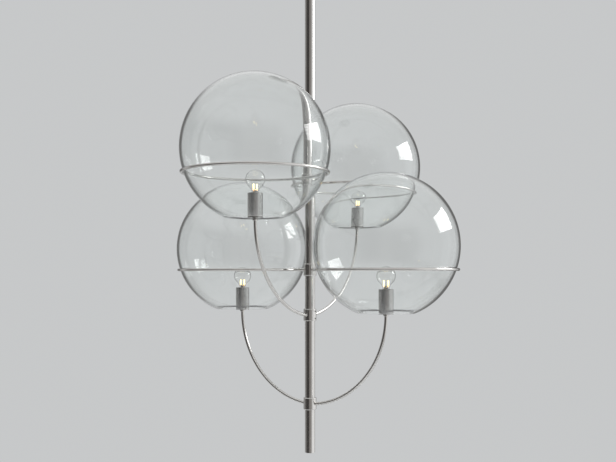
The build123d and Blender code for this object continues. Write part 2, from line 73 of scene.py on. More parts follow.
def size_of(node):
    low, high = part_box(node)
    return high - low


def middle_of(node):
    low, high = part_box(node)
    return (low + high) / 2


def lamp_axis(lamp):
    """The foot of a lamp's upright axis, at the height of the origin."""
    middle = middle_of("holder_cover_" + lamp)
    return Vector((middle.x, middle.y, 0))


def lamp_direction(lamp):
    return lamp_axis(lamp).normalized()


def ring_height(lamp):
    return middle_of("ring_" + lamp).z


# Sizes and colours that a user would change


def length(name, description, default):
    return FloatProperty(
        name=name, description=description, default=default, min=0.0, unit="LENGTH", precision=4
    )


def colour(name, description, default):
    return FloatVectorProperty(
        name=name, description=description, default=default, size=3, min=0.0, max=1.0, subtype="COLOR"
    )


def count(name, description, default):
    return IntProperty(name=name, description=description, default=default, min=3, max=400)


class PendantGlobeSizes(bpy.types.PropertyGroup):
    radius: length("Radius", "Outer radius of a globe", size_of("globe_upper_front").x / 2)
    wall: length("Wall", "Thickness of the blown glass", 0.005)
    lip: length("Lip", "Rounding of the mouth's two edges", 0.0018)
    lip_steps: count("Lip steps", "Faces across each rounded edge of the mouth", 4)
    arc_steps: count("Arc steps", "Faces from the mouth to the top", 84)
    turn_steps: count("Turn steps", "Faces round the globe", 144)


class PendantStemSizes(bpy.types.PropertyGroup):
    radius: length("Radius", "Outer radius of the stem", size_of("stem").x / 2)
    wall: length("Wall", "Thickness of the stem's tube", 0.0015)
    bevel: length("Bevel", "Bevel at the stem's two ends", 0.0004)
    plug_bevel: length("Plug bevel", "Bevel round the end plug", 0.0006)
    plug_gap: length("Plug gap", "Gap between the end plug and the tube", 0.0001)
    turn_steps: count("Turn steps", "Faces round the stem", 96)


class PendantCollarSizes(bpy.types.PropertyGroup):
    radius: length("Radius", "Outer radius of a collar", size_of("arm_collar_upper").x / 2)
    bevel: length("Bevel", "Bevel at a collar's two ends", 0.0014)
    edge: length("Edge", "Rounding of the bevel's own edges", 0.0003)
    gap: length("Gap", "Gap between a collar and the stem", 0.0001)
    screw_hole: length("Screw hole", "Radius of a set screw's hole", 0.0021)
    screw_rise: length("Screw rise", "From a collar's middle to its set screws", 0.009)
    turn_steps: count("Turn steps", "Faces round a collar", 96)


class PendantRingSizes(bpy.types.PropertyGroup):
    rod: length("Rod", "Radius of a ring's rod", size_of("ring_upper_front").z / 2)
    link: length("Link", "Radius of the link between a ring and its collar", 0.00325)
    weld: length("Weld", "How far the weld spreads where a link meets its ring", 0.0012)
    rod_steps: count("Rod steps", "Faces round the rod", 24)
    turn_steps: count("Turn steps", "Faces round the ring", 192)


class PendantArmSizes(bpy.types.PropertyGroup):
    radius: length("Radius", "Outer radius of an arm", 0.004)
    wall: length("Wall", "Thickness of an arm's tube", 0.001)
    socket_depth: length("Socket depth", "How far an arm sits in its collar", 0.002)
    tube_steps: count("Tube steps", "Faces round an arm", 24)
    bend_steps: count("Bend steps", "Faces along an arm", 72)


class PendantLampholderSizes(bpy.types.PropertyGroup):
    cover_wall: length("Cover wall", "Thickness of the metal cup", 0.001)
    cover_floor: length("Cover floor", "Thickness of the metal cup's floor", 0.0015)
    cover_edge: length("Cover edge", "Rounding of the metal cup's edges", 0.0004)
    hole: length("Hole", "Radius of the hole in the cup's floor", 0.0051)
    nut_radius: length("Nut radius", "Outer radius of the round nut", 0.0065)
    nut_bevel: length("Nut bevel", "Bevel under the round nut", 0.0008)
    nut_edge: length("Nut edge", "Rounding of the round nut's upper edge", 0.0003)
    edge_steps: count("Edge steps", "Faces across each rounded edge of the metal cup", 4)
    turn_steps: count("Turn steps", "Faces round a lampholder", 72)


class PendantBulbSizes(bpy.types.PropertyGroup):
    radius: length("Radius", "Radius of the round bulb", size_of("bulb_glass_upper_front").x / 2)
    wall: length("Wall", "Thickness of the bulb's glass", 0.0008)
    neck: length("Neck", "Radius of the glass neck", 0.0078)
    neck_height: length("Neck height", "Straight part of the glass neck", 0.0045)
    rod: length("Rod", "Radius of a lit rod", 0.0016)
    rod_spacing: length("Rod spacing", "Between the two lit rods", 0.012)
    glow: FloatProperty(name="Glow", description="Brightness of the lit rods", default=3.4)
    bar: length("Bar", "Radius of the two bars that hold the rods", 0.0006)
    post: length("Post", "Radius of the post under the rods", 0.0053)
    post_height: length("Post height", "Height of the post under the rods", 0.011)
    rod_steps: count("Rod steps", "Faces round a lit rod", 24)
    bar_steps: count("Bar steps", "Faces round the two bars", 16)
    turn_steps: count("Turn steps", "Faces round a bulb", 64)
    arc_steps: count("Arc steps", "Faces along the round of a bulb", 32)


class PendantCanopySizes(bpy.types.PropertyGroup):
    wall: length("Wall", "Thickness of the spun cup", 0.0012)
    corner: length("Corner", "Rounding of the cup's lower edge", 0.005)
    lip: length("Lip", "Rounding of the cup's upper edge", 0.0005)
    stem_gap: length("Stem gap", "Gap between the cup and the stem", 0.0005)
    collar_gap: length("Collar gap", "Gap between the cup's collar and the stem", 0.0003)
    collar_bevel: length("Collar bevel", "Bevel under the cup's collar", 0.0014)
    screw_hole: length("Screw hole", "Radius of the set screw's hole", 0.0021)
    corner_steps: count("Corner steps", "Faces across the rounding of the lower edge", 10)
    lip_steps: count("Lip steps", "Faces across the rounding of the upper edge", 4)
    turn_steps: count("Turn steps", "Faces round the cup", 144)


class PendantColours(bpy.types.PropertyGroup):
    nickel: colour("Nickel", "Polished nickel plate", (0.7, 0.685, 0.665))
    # The cups' nickel is the same plate as the stem's, darkened as painted shade for the cups inside the
    # globes
    cup: colour("Cup", "Darker nickel plate of the metal cups", (0.44, 0.432, 0.42))
    screw: colour("Screw", "Oiled steel of the set screws", (0.1, 0.097, 0.093))
    zinc: colour("Zinc", "Zinc plate of the ceiling bracket", (0.5, 0.5, 0.485))
    brass: colour("Brass", "Turned brass of the threaded pieces", (0.72, 0.53, 0.24))
    moulding: colour("Moulding", "Satin moulding of the terminal block", (0.84, 0.84, 0.8))
    ceramic: colour("Ceramic", "Glazed ceramic of the lampholders", (0.86, 0.85, 0.81))
    cap: colour("Cap", "Rolled metal of the bulb caps", (0.74, 0.72, 0.68))
    globe: colour("Globe", "Clear glass of the globes", (0.99, 0.995, 0.993))
    globe_depth: colour("Glass depth", "Tone of the glass where it is looked at edge on", (0.88, 0.92, 0.91))
    bulb: colour("Bulb", "Clear glass of the bulbs", (0.99, 0.99, 0.985))
    glow: colour("Glow", "Lit rods at their brightest", (1.0, 0.86, 0.36))
    amber: colour("Amber", "Lit rods towards the cap", (1.0, 0.5, 0.16))
    sleeve: colour("Sleeve", "Smooth insulation of the leads", (0.8, 0.79, 0.75))
    backdrop: colour("Backdrop", "Pale backdrop and floor", (0.57, 0.58, 0.585))


class PendantStage(bpy.types.PropertyGroup):
    camera_place: FloatVectorProperty(
        name="Camera place",
        description="Where the photograph was taken from",
        default=(1.181, -1.6888, -0.7591),
        size=3,
        subtype="TRANSLATION",
        unit="LENGTH",
    )
    camera_turn: FloatProperty(
        name="Camera turn",
        description="Azimuth that the camera stands at, round the stem",
        default=math.radians(35.1),
        subtype="ANGLE",
    )
    lens: FloatProperty(name="Lens", description="Focal length in millimetres", default=48.42)
    shift: FloatProperty(name="Shift", description="Vertical shift of the lens", default=0.0688)
    floor_drop: length("Floor drop", "How far the floor lies below the stem's end", 0.75)
    floor_radius: length("Floor radius", "Radius of the floor", 3.0)
    floor_steps: count("Floor steps", "Sides of the floor's disc", 96)


# Shaping


class Section:
    """Half of a turned piece's section. It is drawn in the XZ plane and then spun."""

    def __init__(self):
        self.shape = bmesh.new()
        self.first = None
        self.last = None

    def start(self, reach, height):
        self.first = self.last = self.shape.verts.new((reach, 0, height))
        return self

    def line(self, reach, height):
        point = self.shape.verts.new((reach, 0, height))
        self.shape.edges.new((self.last, point))
        self.last = point
        return self

    def arc(self, reach, height, degrees, steps):
        """Turns the last point about a centre. A positive turn runs from outward to upward."""
        made = bmesh.ops.spin(
            self.shape,
            geom=[self.last],
            cent=(reach, 0, height),
            axis=(0, -1, 0),
            angle=math.radians(degrees),
            steps=steps,
        )
        self.last = next(part for part in made["geom_last"] if isinstance(part, bmesh.types.BMVert))
        return self

    def close(self):
        self.shape.edges.new((self.last, self.first))
        return self

    def turned(self, steps, foot=(0, 0, 0)):
        """Spins the section a full turn about the upright axis through foot."""
        bmesh.ops.spin(
            self.shape,
            geom=list(self.shape.verts) + list(self.shape.edges),
            axis=UP,
            angle=FULL_TURN,
            steps=steps,
            use_merge=True,
        )
        bmesh.ops.remove_doubles(self.shape, verts=self.shape.verts, dist=MERGE_GAP)
        bmesh.ops.recalc_face_normals(self.shape, faces=self.shape.faces)
        bmesh.ops.translate(self.shape, vec=foot, verts=self.shape.verts)
        return self.shape


def joined(shapes):
    """One bmesh that holds several."""
    whole = bmesh.new()
    for shape in shapes:
        passing = bpy.data.meshes.new("passing")
        shape.to_mesh(passing)
        shape.free()
        whole.from_mesh(passing)
        bpy.data.meshes.remove(passing)
    return whole


def turn_to(shape, direction):
    """Turns a shape drawn towards +X to face a level direction."""
    turn = Matrix.Rotation(math.atan2(direction.y, direction.x), 3, "Z")
    bmesh.ops.rotate(shape, cent=(0, 0, 0), matrix=turn, verts=shape.verts)


def swept_tube(outer, inner, tube_steps, start, heading, centre, axis, angle, bend_steps):
    """A bent tube: a washer at the start is spun round the bend's centre."""
    shape = bmesh.new()
    for radius in (outer, inner):
        bmesh.ops.create_circle(shape, radius=radius, segments=tube_steps)
    bmesh.ops.bridge_loops(shape, edges=list(shape.edges))
    bmesh.ops.transform(
        shape, matrix=heading.to_track_quat("Z", "Y").to_matrix().to_4x4(), verts=shape.verts
    )
    bmesh.ops.translate(shape, vec=start, verts=shape.verts)
    bmesh.ops.spin(
        shape,
        geom=list(shape.verts) + list(shape.edges) + list(shape.faces),
        cent=centre,
        axis=axis,
        angle=angle,
        steps=bend_steps,
    )
    bmesh.ops.remove_doubles(shape, verts=shape.verts, dist=MERGE_GAP)
    bmesh.ops.recalc_face_normals(shape, faces=shape.faces)
    return shape


def placed(shape, name, *materials):
    """Turns a shape into an object of the scene, at the origin."""
    mesh = bpy.data.meshes.new(name)
    shape.to_mesh(mesh)
    shape.free()
    for material in materials:
        mesh.materials.append(material)
    piece = bpy.data.objects.new(name, mesh)
    bpy.context.scene.collection.objects.link(piece)
    return piece


def finished(shape, name, body, material, stands_for=(), sharp_degrees=35):
    """Makes the object, shades it, and lets it ride on its body."""
    limit = math.radians(sharp_degrees)
    for face in shape.faces:
        face.smooth = True
    for edge in shape.edges:
        edge.smooth = edge.calc_face_angle(0.0) < limit
    piece = placed(shape, name, material)
    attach(piece, body)
    if stands_for:
        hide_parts(*stands_for)
    return piece


def plated(shape, name, node, body=FIXTURE, finish="Polished nickel"):
    """A nickel-plated piece that takes the place of a CAD node."""
    return finished(shape, name, body, finish_named(finish), [node])


def evened(piece):
    """Keeps long faces flat in shading beside their small roundings."""
    even = piece.modifiers.new("Even shading", "WEIGHTED_NORMAL")
    even.keep_sharp = True
    return piece


def bored(piece, places, radius, depth, steps=24):
    """Cuts round holes that point along level directions from the given places."""
    cutters = bmesh.new()
    for place, direction in places:
        bit = bmesh.ops.create_cone(
            cutters, cap_ends=True, segments=steps, radius1=radius, radius2=radius, depth=depth
        )
        along = direction.to_track_quat("Z", "Y").to_matrix().to_4x4()
        bmesh.ops.transform(
            cutters,
            matrix=Matrix.Translation(place + direction * depth / 2) @ along,
            verts=bit["verts"],
        )
    drill = placed(cutters, "drill")
    cut = piece.modifiers.new("Holes", "BOOLEAN")
    cut.object = drill
    cut.operation = "DIFFERENCE"
    cut.solver = "EXACT"
    bpy.context.view_layer.update()
    evaluated = piece.evaluated_get(bpy.context.evaluated_depsgraph_get())
    holed = bpy.data.meshes.new_from_object(evaluated)
    piece.modifiers.remove(cut)
    spent = [piece.data, drill.data]
    piece.data = holed
    bpy.data.objects.remove(drill)
    for mesh in spent:
        bpy.data.meshes.remove(mesh)
    holed.name = piece.name
    return piece


# Materials


def new_finish(name, colour_value, metallic=0.0, roughness=0.5, **sockets):
    """A material whose shader holds the values that are the same all over."""
    material = bpy.data.materials.new(name)
    material.use_nodes = True
    shader = material.node_tree.nodes["Principled BSDF"]
    shader.inputs["Base Color"].default_value = (*colour_value, 1)
    shader.inputs["Metallic"].default_value = metallic
    shader.inputs["Roughness"].default_value = roughness
    for socket, value in sockets.items():
        shader.inputs[socket.replace("_", " ")].default_value = value
    return material


def shader_of(material):
    return material.node_tree.nodes["Principled BSDF"]


def new_nodes(tree, *kinds):
    """Adds shader nodes, in the order in which they are named."""
    return [tree.nodes.new("ShaderNode" + kind) for kind in kinds]


def wire(tree, *rows):
    """Links shader nodes by rows of (from node, its output, to node, its input)."""
    for source, output, target, entry in rows:
        tree.links.new(source.outputs[output], target.inputs[entry])


def noise_on(material, scale, stretch=(1, 1, 1), detail=3.0):
    """Noise over the piece's own coordinates. stretch makes it longer along an axis."""
    tree = material.node_tree
    place, mapping, noise = new_nodes(tree, "TexCoord", "Mapping", "TexNoise")
    mapping.inputs["Scale"].default_value = stretch
    noise.inputs["Scale"].default_value = scale
    noise.inputs["Detail"].default_value = detail
    wire(tree, (place, "Object", mapping, "Vector"), (mapping, "Vector", noise, "Vector"))
    return noise.outputs["Fac"]


def vary(material, source, socket, low, high):
    """Spreads a noise over a range of one of the shader's numbers."""
    tree = material.node_tree
    spread = tree.nodes.new("ShaderNodeMapRange")
    spread.inputs["To Min"].default_value = low
    spread.inputs["To Max"].default_value = high
    tree.links.new(source, spread.inputs["Value"])
    tree.links.new(spread.outputs["Result"], shader_of(material).inputs[socket])


def fill_ramp(node, bands):
    """Sets a colour ramp from (place, tone, opacity) rows."""
    elements = node.color_ramp.elements
    while len(elements) < len(bands):
        elements.new(0.5)
    for element, (position, tone, opacity) in zip(elements, bands):
        element.position = position
    for element, (position, tone, opacity) in zip(elements, bands):
        element.color = (*tone, opacity)


def shaded(tone, by):
    return tuple(min(1.0, channel * by) for channel in tone)


def tint(material, source, tone, darker, lighter):
    """Colours the piece between two shades of a tone."""
    tree = material.node_tree
    ramp = tree.nodes.new("ShaderNodeValToRGB")
    shades = [shaded(tone, by) for by in (darker, lighter)]
    fill_ramp(ramp, [(place, shade, 1) for place, shade in zip(TINT_ENDS, shades)])
    tree.links.new(source, ramp.inputs["Fac"])
    tree.links.new(ramp.outputs["Color"], shader_of(material).inputs["Base Color"])


def relief(material, source, strength, depth):
    tree = material.node_tree
    bump = tree.nodes.new("ShaderNodeBump")
    bump.inputs["Strength"].default_value = strength
    bump.inputs["Distance"].default_value = depth
    tree.links.new(source, bump.inputs["Height"])
    tree.links.new(bump.outputs["Normal"], shader_of(material).inputs["Normal"])


def clouded(material, tone, scale, roughness, shades, detail=3.0):
    """Lets the roughness and the tone change slowly over the piece."""
    cloud = noise_on(material, scale, detail=detail)
    vary(material, cloud, "Roughness", *roughness)
    tint(material, cloud, tone, *shades)


def plated_nickel(name, tone, along=(1, 1, 0.04)):
    """Polished plate with faint polishing lines and a soft, uneven shine."""
    material = new_finish(name, tone, metallic=1.0, roughness=0.12)
    clouded(material, tone, scale=18, roughness=(0.09, 0.17), shades=(0.95, 1.04))
    lines = noise_on(material, scale=900, stretch=along)
    relief(material, lines, strength=0.06, depth=0.00004)
    return material


def oiled_steel(name, tone):
    material = new_finish(name, tone, metallic=1.0, roughness=0.35)
    clouded(material, tone, scale=160, roughness=(0.28, 0.5), shades=(0.8, 1.3))
    return material


def zinc_plate(name, tone):
    material = new_finish(name, tone, metallic=1.0, roughness=0.5)
    clouded(material, tone, scale=70, roughness=(0.4, 0.6), shades=(0.88, 1.1), detail=1.0)
    grain = noise_on(material, scale=1200, stretch=(0.05, 1, 1))
    relief(material, grain, strength=0.15, depth=0.00005)
    return material


def turned_brass(name, tone):
    material = new_finish(name, tone, metallic=1.0, roughness=0.22)
    clouded(material, tone, scale=60, roughness=(0.16, 0.34), shades=(0.85, 1.06))
    lines = noise_on(material, scale=900, stretch=(0.05, 0.05, 1))
    relief(material, lines, strength=0.25, depth=0.00006)
    return material


def moulded_plastic(name, tone):
    material = new_finish(name, tone, roughness=0.42)
    vary(material, noise_on(material, scale=45), "Roughness", 0.36, 0.5)
    tint(material, noise_on(material, scale=30), tone, 0.96, 1.03)
    relief(material, noise_on(material, scale=1500), strength=0.2, depth=0.00003)
    return material


def glazed_ceramic(name, tone):
    material = new_finish(name, tone, roughness=0.16, Coat_Weight=0.5, Coat_Roughness=0.06)
    clouded(material, tone, scale=55, roughness=(0.12, 0.24), shades=(0.95, 1.04))
    relief(material, noise_on(material, scale=140), strength=0.12, depth=0.0001)
    return material


def rolled_cap(name, tone):
    material = new_finish(name, tone, metallic=1.0, roughness=0.25)
    clouded(material, tone, scale=220, roughness=(0.18, 0.36), shades=(0.88, 1.06))
    return material


def clear_glass(name, tone, body_tone, density, wave_scale, wave_depth):
    """Clear glass with the faint waves that blowing leaves in it. Its edges look deeper."""
    material = new_finish(name, tone, roughness=0.0, IOR=1.5, Transmission_Weight=1.0)
    waves = noise_on(material, wave_scale, detail=1.0)
    relief(material, waves, strength=0.3, depth=wave_depth)
    tree = material.node_tree
    depth = tree.nodes.new("ShaderNodeVolumeAbsorption")
    depth.inputs["Color"].default_value = (*body_tone, 1)
    depth.inputs["Density"].default_value = density
    wire(tree, (depth, "Volume", tree.nodes["Material Output"], "Volume"))
    return material


def glow_of(name, warm, amber, low, high, strength):
    """Lit rods: warm yellow along most of their length and amber towards the cap."""
    material = new_finish(name, warm, roughness=0.4, Emission_Strength=strength)
    tree = material.node_tree
    place, parts, climb, ramp = new_nodes(tree, "TexCoord", "SeparateXYZ", "MapRange", "ValToRGB")
    climb.inputs["From Min"].default_value = low
    climb.inputs["From Max"].default_value = high
    fill_ramp(ramp, [(0.0, amber, 1), (AMBER_SHARE, warm, 1)])
    wire(
        tree,
        (place, "Object", parts, "Vector"),
        (parts, "Z", climb, "Value"),
        (climb, "Result", ramp, "Fac"),
        (ramp, "Color", shader_of(material), "Emission Color"),
    )
    return material


def smooth_sleeve(name, tone):
    material = new_finish(name, tone, roughness=0.4)
    vary(material, noise_on(material, scale=300), "Roughness", 0.32, 0.5)
    tint(material, noise_on(material, scale=40), tone, 0.94, 1.04)
    return material


def finish_named(name):
    return bpy.data.materials[name]


def dress(node, finish):
    """Gives a CAD node that stays as it is a better material."""
    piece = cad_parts[node]
    piece.data.materials.clear()
    piece.data.materials.append(finish_named(finish))


# The studio


def band(start, end, tone, opacity=1):
    """Two rows of a colour ramp, between which the tone stays the same."""
    return [(start, tone, opacity), (end, tone, opacity)]


# A ray's depth is above this once it has bounced off something
ANY_BOUNCE = 0.5
# From the floor's rim, at 0, to its middle, at 1
FLOOR_FADE = [(0.02, (0, 0, 0), 1), (0.7, (1, 1, 1), 1)]
PALE = (0.5, 0.505, 0.51)
BRIGHT = (0.95, 0.96, 0.97)
DIM = (0.17, 0.165, 0.16)
DARK = (0.055, 0.051, 0.049)
REAR = (0.16, 0.158, 0.155)
GROUND = (0.4, 0.4, 0.39)
CEILING = (0.8, 0.8, 0.8)
# Round the stem, as shares of a full turn. The middle is the camera's side, the ends lie behind
# the pendant, and the second half is on the camera's right.
SIDE_BANDS = [
    *band(0.0, 0.05, PALE),
    *band(0.06, 0.11, REAR),
    *band(0.12, 0.17, PALE),
    *band(0.19, 0.295, DIM),
    *band(0.305, 0.445, DARK),
    (0.465, (0.25, 0.235, 0.225), 1),
    (0.56, (0.32, 0.305, 0.295), 1),
    (0.6, (0.44, 0.435, 0.43), 1),
    *band(0.655, 0.85, BRIGHT),
    *band(0.87, 0.9, PALE),
    *band(0.91, 0.96, REAR),
    (0.97, PALE, 1),
]
# From straight down to straight up. Where the opacity is 0, the side bands show.
HEIGHT_BANDS = [
    *band(0.0, 0.25, GROUND),
    (0.36, GROUND, 0),
    (0.68, CEILING, 0),
    *band(0.8, 1.0, CEILING),
]
# Each soft box: name, degrees round the stem from the camera towards its right, degrees up,
# distance, width and height in metres, watts, and how bright its face looks in metal and glass,
# or 0 where it has none
SOFT_BOXES = [
    ("Key", 100, 23, 3.2, 1.9, 0.95, 50, 5.5),
    ("Front fill", -30, 15, 3.4, 0.7, 1.6, 40, 0),
    ("Top", 20, 70, 3.0, 1.6, 1.6, 14, 0),
]


# Operators


class PENDANT_OT_finishes(bpy.types.Operator):
    """Make the materials of the metal, the glass and the inner pieces"""

    bl_idname = "pendant.finishes"
    bl_label = "Finishes"

    def execute(self, context):
        tones = context.scene.pendant_colours
        plated_nickel("Polished nickel", tones.nickel)
        plated_nickel("Polished nickel arm", tones.nickel, (1, 1, 1))
        # The stem's nickel, darkened as painted shade for the metal cups inside the globes
        plated_nickel("Nickel with painted shade", tones.cup)
        oiled_steel("Oiled steel", tones.screw)
        zinc_plate("Zinc plate", tones.zinc)
        turned_brass("Turned brass", tones.brass)
        moulded_plastic("Satin moulding", tones.moulding)
        glazed_ceramic("Glazed ceramic", tones.ceramic)
        rolled_cap("Rolled cap", tones.cap)
        clear_glass(
            "Globe glass", tones.globe, tones.globe_depth,
            density=32.0, wave_scale=9.0, wave_depth=0.0004,
        )
        clear_glass(
            "Bulb glass", tones.bulb, tones.globe_depth,
            density=60.0, wave_scale=40.0, wave_depth=0.0001,
        )
        smooth_sleeve("Lead sleeve", tones.sleeve)
        return {"FINISHED"}


class PENDANT_OT_stem(bpy.types.Operator):
    """Make the stem's tube and the plug in its lower end"""

    bl_idname = "pendant.stem"
    bl_label = "Stem"

    def execute(self, context):
        sizes = context.scene.pendant_stem
        low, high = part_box("stem")
        outer = sizes.radius
        inner = outer - sizes.wall
        bevel = sizes.bevel
        tube = Section().start(inner, low.z).line(outer - bevel, low.z).line(outer, low.z + bevel)
        tube.line(outer, high.z - bevel).line(outer - bevel, high.z).line(inner, high.z).close()
        evened(plated(tube.turned(sizes.turn_steps), "stem_tube", "stem"))
        plug_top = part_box("stem_end_cap")[1].z
        plug = inner - sizes.plug_gap
        cap = Section().start(0, low.z).line(plug - sizes.plug_bevel, low.z)
        cap.line(plug, low.z + sizes.plug_bevel).line(plug, plug_top).line(0, plug_top)
        evened(plated(cap.turned(sizes.turn_steps), "stem_end_plug", "stem_end_cap"))
        return {"FINISHED"}


class PENDANT_OT_collars(bpy.types.Operator):
    """Make the bevelled collars with their set screw holes"""

    bl_idname = "pendant.collars"
    bl_label = "Collars"

    def execute(self, context):
        sizes = context.scene.pendant_collar
        stem = context.scene.pendant_stem
        bore = stem.radius + sizes.gap
        for level in LEVELS:
            first_lamp = next(lamp for lamp in LAMPS if lamp.startswith(level))
            side = UP.cross(lamp_direction(first_lamp))
            for kind in ("ring_collar_", "arm_collar_"):
                self.make_collar(sizes, kind + level, bore, side, stem.radius)
        return {"FINISHED"}

    def make_collar(self, sizes, node, bore, side, stem_radius):
        low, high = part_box(node)
        outer = sizes.radius
        bevel = sizes.bevel
        edge = sizes.edge
        end = [
            (outer - bevel - edge, 0),
            (outer - bevel + edge / 2, edge / 2),
            (outer - edge / 2, bevel - edge / 2),
            (outer, bevel + edge),
        ]
        sleeve = Section().start(bore, low.z)
        for reach, rise in end:
            sleeve.line(reach, low.z + rise)
        for reach, rise in reversed(end):
            sleeve.line(reach, high.z - rise)
        sleeve.line(bore, high.z).close()
        name = node.replace("collar", "collar_sleeve")
        piece = plated(sleeve.turned(sizes.turn_steps), name, node)
        middle = (low.z + high.z) / 2
        places = [
            (side * stem_radius + UP * (middle + rise), side)
            for rise in (sizes.screw_rise, -sizes.screw_rise)
        ]
        bored(piece, places, sizes.screw_hole, outer)
        evened(piece)


class PENDANT_OT_rings(bpy.types.Operator):
    """Make the round rod rings, each with the link to its collar"""

    bl_idname = "pendant.rings"
    bl_label = "Rings"

    def execute(self, context):
        sizes = context.scene.pendant_ring
        for lamp in LAMPS:
            self.make_ring(sizes, lamp)
        return {"FINISHED"}

    def make_ring(self, sizes, lamp):
        height = ring_height(lamp)
        size = size_of("ring_" + lamp)
        ring_radius = min(size.x, size.y) / 2 - sizes.rod
        reach = lamp_axis(lamp).length
        start = reach + ring_radius + sizes.rod - max(size.x, size.y)
        ring = Section().start(ring_radius + sizes.rod, 0).arc(ring_radius, 0, 360, sizes.rod_steps)
        hoop = ring.turned(sizes.turn_steps, (reach, 0, 0))
        weld = sizes.weld
        joint = reach - ring_radius
        bar = Section().start(0, start).line(sizes.link, start)
        # The weld widens towards the ring
        bar.line(sizes.link, joint - sizes.rod - weld)
        bar.line(sizes.link + weld / 3, joint - sizes.rod - weld / 4)
        bar.line(sizes.link + weld / 2, joint - sizes.rod / 2).line(0, joint - sizes.rod / 2)
        link = bar.turned(sizes.rod_steps)
        bmesh.ops.rotate(link, matrix=Matrix.Rotation(math.pi / 2, 3, "Y"), verts=link.verts)
        whole = joined([hoop, link])
        turn_to(whole, lamp_direction(lamp))
        bmesh.ops.translate(whole, vec=(0, 0, height), verts=whole.verts)
        plated(whole, "hoop_" + lamp, "ring_" + lamp, finish="Polished nickel arm")


class PENDANT_OT_arms(bpy.types.Operator):
    """Make the curved arms that carry the lampholders"""

    bl_idname = "pendant.arms"
    bl_label = "Arms"

    def execute(self, context):
        sizes = context.scene.pendant_arm
        collar = context.scene.pendant_collar
        for lamp in LAMPS:
            level = lamp.split("_")[0]
            low_z = middle_of("arm_collar_" + level).z
            high_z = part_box("arm_" + lamp)[1].z
            outward = lamp_direction(lamp)
            start = outward * (collar.radius - sizes.socket_depth) + UP * low_z
            run = lamp_axis(lamp).length - (collar.radius - sizes.socket_depth)
            rise = high_z - low_z
            bend = (run**2 + rise**2) / (2 * run)
            slope = math.asin((bend - run) / bend)
            heading = outward * math.cos(slope) + UP * math.sin(slope)
            centre = outward * (lamp_axis(lamp).length - bend) + UP * high_z
            tube = swept_tube(
                sizes.radius, sizes.radius - sizes.wall, sizes.tube_steps, start, heading,
                centre, outward.cross(UP), math.pi / 2 - slope, sizes.bend_steps,
            )
            plated(tube, "bent_arm_" + lamp, "arm_" + lamp, finish="Polished nickel arm")
        return {"FINISHED"}


class PENDANT_OT_lampholders(bpy.types.Operator):
    """Make the metal cups and round nuts of the lampholders"""

    bl_idname = "pendant.lampholders"
    bl_label = "Lampholders"

    def execute(self, context):
        sizes = context.scene.pendant_lampholder
        arm = context.scene.pendant_arm
        nuts = []
        for lamp in LAMPS:
            self.make_cup(sizes, lamp)
            nuts.append(self.nut_shape(sizes, arm, lamp))
        evened(plated(joined(nuts), "round_nuts", "neck_nuts"))
        return {"FINISHED"}

    def make_cup(self, sizes, lamp):
        low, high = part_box("holder_cover_" + lamp)
        outer = (high.x - low.x) / 2
        inner = outer - sizes.cover_wall
        edge = sizes.cover_edge
        steps = sizes.edge_steps
        cup = Section().start(sizes.hole, low.z).line(outer - edge, low.z)
        cup.arc(outer - edge, low.z + edge, 90, steps).line(outer, high.z - edge)
        cup.arc(outer - edge, high.z - edge, 90, steps).line(inner + edge, high.z)
        cup.arc(inner + edge, high.z - edge, 90, steps).line(inner, low.z + sizes.cover_floor)
        cup.line(sizes.hole, low.z + sizes.cover_floor).close()
        # The cups take the nickel darkened as painted shade
        evened(plated(
            cup.turned(sizes.turn_steps, lamp_axis(lamp)), "metal_cup_" + lamp,
            "holder_cover_" + lamp, finish="Nickel with painted shade",
        ))

    def nut_shape(self, sizes, arm, lamp):
        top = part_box("holder_cover_" + lamp)[0].z
        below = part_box("holder_cover_lower_right")[0].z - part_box("neck_nuts")[0].z
        bottom = top - below
        outer = sizes.nut_radius
        bevel = sizes.nut_bevel
        edge = sizes.nut_edge
        nut = Section().start(arm.radius, bottom).line(outer - bevel, bottom)
        nut.line(outer, bottom + bevel).line(outer, top - edge).line(outer - edge, top)
        nut.line(sizes.hole, top).line(sizes.hole, bottom + below / 2)
        nut.line(arm.radius, bottom + below / 2).close()
        return nut.turned(sizes.turn_steps, lamp_axis(lamp))


